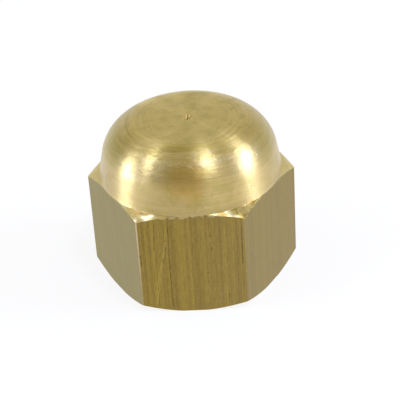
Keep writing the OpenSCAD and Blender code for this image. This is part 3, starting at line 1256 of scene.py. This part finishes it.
def scraped_material(finish, shown):
    """Brass of the shoulder: torn and scraped by the tool, with uneven facets that catch the light"""
    material, tree, shader = new_material("scraped_brass")
    place = place_of(tree)
    path = around(tree, place, 0.008)
    marks = use(tree, turning_marks(), length=0.002, fine=6000.0, broad=1500.0)
    film = use(tree, mottling(), scale=900.0)
    worn = use(tree, edge_wear(), scale=2500.0, low=0.35, high=0.6)["Mask"]

    # The corners at the front and the back are the most uneven
    part = add(tree, "ShaderNodeSeparateXYZ", {0: place}).outputs
    uneven = fade(tree, calc(tree, "ABSOLUTE", part["X"]), *UNEVEN_ASIDE)
    gold = calc(tree, "MULTIPLY", fade(tree, film["Cloud"], -0.6, 0.6), uneven)
    # Thinner gold on the left leaves the pale colour there as a painted highlight
    gold = calc(tree, "MULTIPLY", gold, fade(tree, part["X"], *GOLD_PAST_LEFT_HIGHLIGHT, 0.4, 1.0))
    base = tint(tree, gold, finish.shoulder, finish.shoulder_gold)

    # Olive film lies over the front corner on the right, partly painted shade that darkens that corner
    side = fade(tree, part["X"], *CORNER_FILM_AND_SHADE_SIDE)
    filmed = calc(tree, "MULTIPLY", side, fade(tree, part["Y"], *CORNER_FILM_AND_SHADE_FRONT))
    filmed = calc(tree, "MULTIPLY", filmed, fade(tree, film["Cloud"], -0.8, 0.4, 0.55, 0.9))
    base = tint(tree, filmed, base, finish.shoulder_film_and_shade)
    light_and_dark = brightness(
        tree, (marks["Lines"], shown.shoulder_lines), (film["Grain"], shown.shoulder_grain)
    )
    base = tint(tree, 1.0, base, light_and_dark, "MULTIPLY")
    base = cover(tree, film["Specks"], shown.shoulder_specks, base, finish.dirt)
    base = cover(tree, worn, shown.shoulder_wear, base, finish.scuff_and_highlight)
    rough = calc(tree, "MULTIPLY_ADD", uneven, -0.12, finish.shoulder_roughness)
    rough = calc(tree, "MULTIPLY_ADD", film["Grain"], 0.03, rough)

    # Broad facets lie across the shoulder, with fine torn metal on them
    facets = noise(tree, vector(tree, "ADD", path, (SCRAPED_SHIFT, 0.0, 0.0)), 700.0, 0.0)
    torn = noise(tree, place, 2600.0, 3.0, 0.6)
    torn = calc(tree, "MULTIPLY", torn, SCRAPED_TORN)
    relief = calc(tree, "MULTIPLY_ADD", facets, SCRAPED_FACETS, torn)
    relief = calc(tree, "MULTIPLY", relief, uneven)
    finish_metal(tree, shader, base, rough, relief, 1.0)
    brush_round(tree, shader, place, SCRAPED_ANISOTROPY)
    return material


DRAWN_COAT_ROUGHNESS = 0.4
# Y at which the front flat begins, and at which the back of the cap does
FLAT_FRONT = (-9.2 * MM, -9.4 * MM)
CAP_BACK = (-1.0 * MM, 2.0 * MM)
# X at which the left flats begin, just past the corner
LEFT_FLATS = (-5.2 * MM, -5.8 * MM)
# X over which the thin clear film grows, and X and Z over which the rubbed edges grow stronger, paler to
# the left and higher up as a painted highlight along the upright corners
CLEAR_FILM_SIDE = (-3.0 * MM, 6.0 * MM)
EDGE_HIGHLIGHT_SIDE = (3.0 * MM, -3.0 * MM)
EDGE_HIGHLIGHT_HEIGHT = (2.0 * MM, 10.0 * MM)
# Height above which the tops of the flats are torn, counted with the raggedness of the edge
TORN_HEIGHT = 11.73 * MM
TORN_FADE = 0.08 * MM
TORN_RAGGED = 0.5 * MM


def drawn_material(finish, shown):
    """Brass as drawn: the flats keep the lines of the die, dulled by air and handling"""
    material, tree, shader = new_material("drawn_brass")
    place = place_of(tree)
    part = add(tree, "ShaderNodeSeparateXYZ", {0: place}).outputs
    front = fade(tree, part["Y"], *FLAT_FRONT)
    marks = use(tree, drawing_marks(), wide=2400.0, narrow=6500.0, stretch=0.003)
    film = use(tree, mottling(), scale=500.0)
    worn = use(tree, edge_wear(), scale=1500.0, low=0.1, high=0.4)["Mask"]

    # The front flat shows its lines the most, and the flats beside it the least
    back = fade(tree, part["Y"], *CAP_BACK)
    clear = calc(tree, "MULTIPLY_ADD", front, 0.7, calc(tree, "MULTIPLY_ADD", back, 0.3, 0.3))
    browner = fade(tree, marks["Streaks"], -0.9, 0.9, 0.2, 0.8)
    base = tint(tree, browner, finish.drawn, finish.drawn_brown)
    bright = calc(tree, "MULTIPLY", fade(tree, marks["Streaks"], -0.2, -1.0), clear)
    narrow = calc(tree, "MULTIPLY", fade(tree, marks["Lines"], 0.1, 0.9), clear)
    base = cover(tree, bright, shown.bright_streaks, base, finish.drawn_bright)
    base = cover(tree, narrow, shown.dark_lines, base, finish.drawn_dark)

    # The duller side flats carry a greenish film, thickest on the left one beside the front
    left = fade(tree, part["X"], *LEFT_FLATS)
    left = calc(tree, "MULTIPLY", left, calc(tree, "SUBTRACT", 1.0, back))
    side_film = calc(tree, "MULTIPLY_ADD", left, 0.45, 0.15)
    side_film = calc(tree, "MULTIPLY", side_film, calc(tree, "SUBTRACT", 1.0, front))
    base = tint(tree, side_film, base, finish.drawn_film)
    light_and_dark = brightness(
        tree,
        (calc(tree, "MULTIPLY", marks["Grain"], clear), shown.drawn_grain),
        (film["Grain"], shown.drawn_mottling),
        (calc(tree, "MULTIPLY", marks["Streaks"], clear), -shown.broad_streaks),
    )
    base = tint(tree, 1.0, base, light_and_dark, "MULTIPLY")

    # The metal is torn where the flats run out under the dome
    ragged = noise(tree, place, 2200.0, 2.0, 0.6)
    ragged_height = calc(tree, "MULTIPLY_ADD", ragged, TORN_RAGGED, part["Z"])
    torn = fade(tree, ragged_height, TORN_HEIGHT, TORN_HEIGHT + TORN_FADE)
    torn = calc(tree, "MULTIPLY", torn, calc(tree, "MULTIPLY_ADD", front, 0.7, 0.3))
    notch = calc(tree, "MULTIPLY", fade(tree, ragged, 0.55, 0.35), torn)
    base = cover(tree, torn, shown.torn_tops, base, finish.shoulder)
    base = cover(tree, notch, shown.torn_notches, base, finish.drawn_dark)

    scores = placed_marks(tree, FLAT_SCORES)
    dark = blend(tree, (scores, shown.flat_scores), (film["Specks"], shown.flat_specks))
    base = tint(tree, dark, base, finish.drawn_dirt)
    scratches = placed_marks(tree, FLAT_SCRATCHES)
    base = cover(tree, scratches, shown.flat_scratches, base, finish.drawn_bright)
    # The rubbed edges are partly wear, and are painted stronger to the left and higher up as a painted
    # highlight along the left upright corner
    worn = calc(tree, "MULTIPLY", worn, fade(tree, part["X"], *EDGE_HIGHLIGHT_SIDE, 0.15, 0.6))
    worn = calc(tree, "MULTIPLY", worn, fade(tree, part["Z"], *EDGE_HIGHLIGHT_HEIGHT, 0.4, 1.0))
    base = tint(tree, worn, base, finish.scuff_and_highlight)
    light = calc(tree, "MAXIMUM", scratches, worn)

    rough = calc(tree, "MULTIPLY_ADD", marks["Lines"], 0.04, finish.drawn_roughness)
    rough = calc(tree, "MULTIPLY_ADD", film["Cloud"], 0.02, rough)
    relief = calc(tree, "MULTIPLY_ADD", calc(tree, "SUBTRACT", light, dark), 0.6, marks["Height"])
    relief = calc(tree, "MULTIPLY_ADD", calc(tree, "MULTIPLY", torn, ragged), 12.0, relief)
    finish_metal(tree, shader, base, rough, relief, 0.4)
    filmed = fade(tree, part["X"], *CLEAR_FILM_SIDE, 0.2, 0.5)
    filmed = calc(tree, "MULTIPLY_ADD", left, 0.42, filmed)
    tree.links.new(filmed, shader.inputs["Coat Weight"])
    shader.inputs["Coat Roughness"].default_value = DRAWN_COAT_ROUGHNESS
    return material


def cut_material(finish, shown):
    """Brass as cut by drill and tap"""
    material, tree, shader = new_material("cut_brass")
    marks = use(tree, turning_marks(), length=0.0005, fine=6000.0, broad=1800.0)
    dull = use(tree, dulling(), scale=300.0, low=0.45, high=0.75)["Mask"]
    base = cover(tree, dull, shown.dulled_bore, finish.cut, finish.stain_and_shade)
    rough = calc(tree, "MULTIPLY_ADD", marks["Lines"], 0.07, finish.cut_roughness)
    finish_metal(tree, shader, base, rough, marks["Height"], 0.3)
    return material


# ---------------------------------------------------------------- operators


class CAP_OT_add_cap(bpy.types.Operator):
    """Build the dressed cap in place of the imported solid"""

    bl_idname = "blanking_cap.add_cap"
    bl_label = "Add Cap"

    def execute(self, context):
        sizes = context.scene.cap_sizes
        looks = context.scene.cap_finish, context.scene.cap_marks
        fine = column_angles()
        coarse = fine[::2]
        skin = Skin()
        foot, neck = foot_and_flats(skin, sizes, fine)
        dome(skin, sizes, coarse, neck)
        bore(skin, sizes, coarse, foot)
        materials = [
            turned_material(*looks),
            drawn_material(*looks),
            cut_material(*looks),
            scraped_material(*looks),
        ]
        piece = skin_object(skin, "dressed_cap", materials)
        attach(piece, "root")
        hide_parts(NODE)
        return {"FINISHED"}


FLOOR_SIZE = 6.0
# Roughness of the floor and of the card
MATT = 0.9
# Height on the axis that the camera, the lamps and the card face
AIM_HEIGHT = 7.6 * MM
# Sideways and upward offset of the cap from the middle of the view
AIM_OFFSET = (-0.7759 * MM, -0.0251 * MM)

# Soft boxes: turn round the cap from its front, elevation, lean, width, height and strength
LAMP_DISTANCE = 0.5
LAMPS = {
    "left_window": (-84.6, 9.8, 28, 0.122, 0.248, 1.30),
    "left_high_box": (-77.4, 50.3, 39, 0.031, 0.414, 0.62),
    "right_high_box": (45.5, 67.2, 0, 0.078, 0.08, 0.80),
    "right_window": (85.8, 24.8, -47, 0.10, 0.292, 1.83),
}
# Dark card beside the camera: turn, elevation, distance, width and height
CARD = (-17.4, 28.2, 0.5, 0.664, 0.208)
CARD_GREY = (0.13, 0.13, 0.125, 1)
WHITE = (1.0, 1.0, 1.0)
# Daylight of the boxes, cooler than the room
LAMP_COLOUR = (0.69, 0.755, 1.16)
# Headings, from -1 to 1, between which the room grows brighter to the right
SIDE_HEADINGS = (0.2, 0.9)
# Headings between which the backdrop fades in: away from the camera, and down to the horizon
BACKDROP_BEHIND = (0.45, 0.85)
BACKDROP_LOW = (0.34, 0.06)
# Width of the camera's sensor in millimetres, and the nearest that it sees
SENSOR_WIDTH = 36.0
NEAREST = 0.01


def look_from(position, target):
    """Rotation of a lamp or camera at a position that faces a target"""
    return (Vector(target) - Vector(position)).to_track_quat("-Z", "Y").to_matrix().to_4x4()


def round_the_cap(turn, elevation, distance):
    """Point at a turn from the front, an elevation and a distance"""
    level = distance * math.cos(elevation)
    return Vector((level * math.sin(turn), -level * math.cos(turn), distance * math.sin(elevation)))


def sheet(context, name, width, tall, material):
    """Flat rectangle round its own middle"""
    mesh = bpy.data.meshes.new(name)
    edges = [(x * width / 2, y * tall / 2, 0) for x, y in ((-1, -1), (1, -1), (1, 1), (-1, 1))]
    mesh.from_pydata(edges, [], [(0, 1, 2, 3)])
    mesh.materials.append(material)
    made = bpy.data.objects.new(name, mesh)
    context.scene.collection.objects.link(made)
    return made


class CAP_OT_add_stage(bpy.types.Operator):
    """Add the floor, the lamps, the room light and the camera"""

    bl_idname = "blanking_cap.add_stage"
    bl_label = "Add Stage"

    def execute(self, context):
        stage = context.scene.cap_stage
        self.add_floor(context, stage)
        self.add_lamps(context)
        self.add_card(context)
        self.add_room(context, stage)
        self.add_camera(context, stage)
        context.scene.view_settings.view_transform = "Standard"
        return {"FINISHED"}

    def add_floor(self, context, stage):
        material, tree, shader = new_material("pale_floor")
        shader.inputs["Base Color"].default_value = (*stage.floor_colour, 1)
        shader.inputs["Roughness"].default_value = MATT
        shader.inputs["Specular IOR Level"].default_value = 0.0
        # What the camera and the metal see of the floor is lifted towards white
        seen = add(tree, "ShaderNodeLightPath").outputs
        direct = calc(tree, "MAXIMUM", seen["Is Camera Ray"], seen["Is Glossy Ray"])
        direct = calc(tree, "MAXIMUM", direct, seen["Is Transmission Ray"])
        white = add(tree, "ShaderNodeEmission", {"Strength": 1.0})
        lifted = add(tree, "ShaderNodeMixShader", {0: calc(tree, "MULTIPLY", direct, stage.floor_lift)})
        tree.links.new(shader.outputs[0], lifted.inputs[1])
        tree.links.new(white.outputs[0], lifted.inputs[2])
        output = next(node for node in tree.nodes if node.type == "OUTPUT_MATERIAL")
        tree.links.new(lifted.outputs[0], output.inputs["Surface"])
        floor = sheet(context, "floor", FLOOR_SIZE, FLOOR_SIZE, material)

    def add_lamps(self, context):
        for name, (turn, elevation, lean, width, tall, strength) in LAMPS.items():
            lamp = bpy.data.lights.new(name, "AREA")
            lamp.shape = "RECTANGLE"
            lamp.size = width
            lamp.size_y = tall
            lamp.energy = strength
            lamp.color = LAMP_COLOUR
            holder = bpy.data.objects.new(name, lamp)
            context.scene.collection.objects.link(holder)
            middle = Vector((0, 0, AIM_HEIGHT))
            spot = middle + round_the_cap(math.radians(turn), math.radians(elevation), LAMP_DISTANCE)
            leaning = Matrix.Rotation(math.radians(lean), 4, "Z")
            holder.matrix_world = Matrix.Translation(spot) @ look_from(spot, middle) @ leaning
            holder.visible_camera = False

    def add_card(self, context):
        turn, elevation, distance, width, tall = CARD
        material, _, shader = new_material("dark_card")
        shader.inputs["Base Color"].default_value = CARD_GREY
        shader.inputs["Roughness"].default_value = MATT
        card = sheet(context, "dark_card", width, tall, material)
        middle = Vector((0, 0, AIM_HEIGHT))
        spot = middle + round_the_cap(math.radians(turn), math.radians(elevation), distance)
        card.matrix_world = Matrix.Translation(spot) @ look_from(spot, middle)
        card.visible_camera = False

    def add_room(self, context, stage):
        world = bpy.data.worlds.new("room")
        context.scene.world = world
        world.use_nodes = True
        tree = world.node_tree
        background = tree.nodes["Background"]
        heading = add(tree, "ShaderNodeTexCoord").outputs["Generated"]
        facing = add(tree, "ShaderNodeSeparateXYZ", {0: heading}).outputs
        side_light = stage.room_light * (1 + stage.side_light)
        light = fade(tree, facing["X"], *SIDE_HEADINGS, stage.room_light, side_light)
        # Low down behind the cap the room ends in a white backdrop
        behind = fade(tree, facing["Y"], *BACKDROP_BEHIND)
        backdrop = calc(tree, "MULTIPLY", behind, fade(tree, facing["Z"], *BACKDROP_LOW))
        strength = add(tree, "ShaderNodeMix", {0: backdrop, 2: light, 3: stage.backdrop_light})
        colour_of_light = tint(tree, backdrop, tuple(stage.room_colour), WHITE)
        tree.links.new(strength.outputs[0], background.inputs["Strength"])
        tree.links.new(colour_of_light, background.inputs["Color"])

    def add_camera(self, context, stage):
        lens = bpy.data.cameras.new("camera")
        lens.lens = stage.lens
        lens.sensor_width = SENSOR_WIDTH
        lens.clip_start = NEAREST
        camera = bpy.data.objects.new("camera", lens)
        context.scene.collection.objects.link(camera)
        middle = Vector((0, 0, AIM_HEIGHT))
        spot = middle + round_the_cap(stage.camera_turn, stage.camera_height, stage.camera_distance)
        turned = look_from(spot, middle) @ Matrix.Rotation(stage.camera_roll, 4, "Z")
        aside = turned.to_3x3() @ Vector((-AIM_OFFSET[0], -AIM_OFFSET[1], 0))
        camera.matrix_world = Matrix.Translation(spot + aside) @ turned
        context.scene.camera = camera


class CAP_PT_panel(bpy.types.Panel):
    """Sizes and colours of the cap and its stage"""

    bl_idname = "CAP_PT_panel"
    bl_label = "Blanking Cap"
    bl_space_type = "VIEW_3D"
    bl_region_type = "UI"
    bl_category = "Cap"

    def draw(self, context):
        for title, settings, operator in (
            ("Sizes", context.scene.cap_sizes, CAP_OT_add_cap.bl_idname),
            ("Finish", context.scene.cap_finish, None),
            ("Marks", context.scene.cap_marks, None),
            ("Stage", context.scene.cap_stage, CAP_OT_add_stage.bl_idname),
        ):
            box = self.layout.box()
            box.label(text=title)
            for name in type(settings).__annotations__:
                box.prop(settings, name)
            if operator:
                box.operator(operator)


CLASSES = (
    CapSizes,
    CapFinish,
    CapMarks,
    StageSettings,
    CAP_OT_add_cap,
    CAP_OT_add_stage,
    CAP_PT_panel,
)


def register():
    for made in CLASSES:
        bpy.utils.register_class(made)
    bpy.types.Scene.cap_sizes = bpy.props.PointerProperty(type=CapSizes)
    bpy.types.Scene.cap_finish = bpy.props.PointerProperty(type=CapFinish)
    bpy.types.Scene.cap_marks = bpy.props.PointerProperty(type=CapMarks)
    bpy.types.Scene.cap_stage = bpy.props.PointerProperty(type=StageSettings)


def unregister():
    del bpy.types.Scene.cap_sizes
    del bpy.types.Scene.cap_finish
    del bpy.types.Scene.cap_marks
    del bpy.types.Scene.cap_stage
    for made in reversed(CLASSES):
        bpy.utils.unregister_class(made)


def corners(bounds):
    return [list(corner) for corner in bounds]


def main():
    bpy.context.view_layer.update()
    register()
    bpy.ops.blanking_cap.add_cap()
    bpy.ops.blanking_cap.add_stage()


if __name__ == "__main__":
    main()
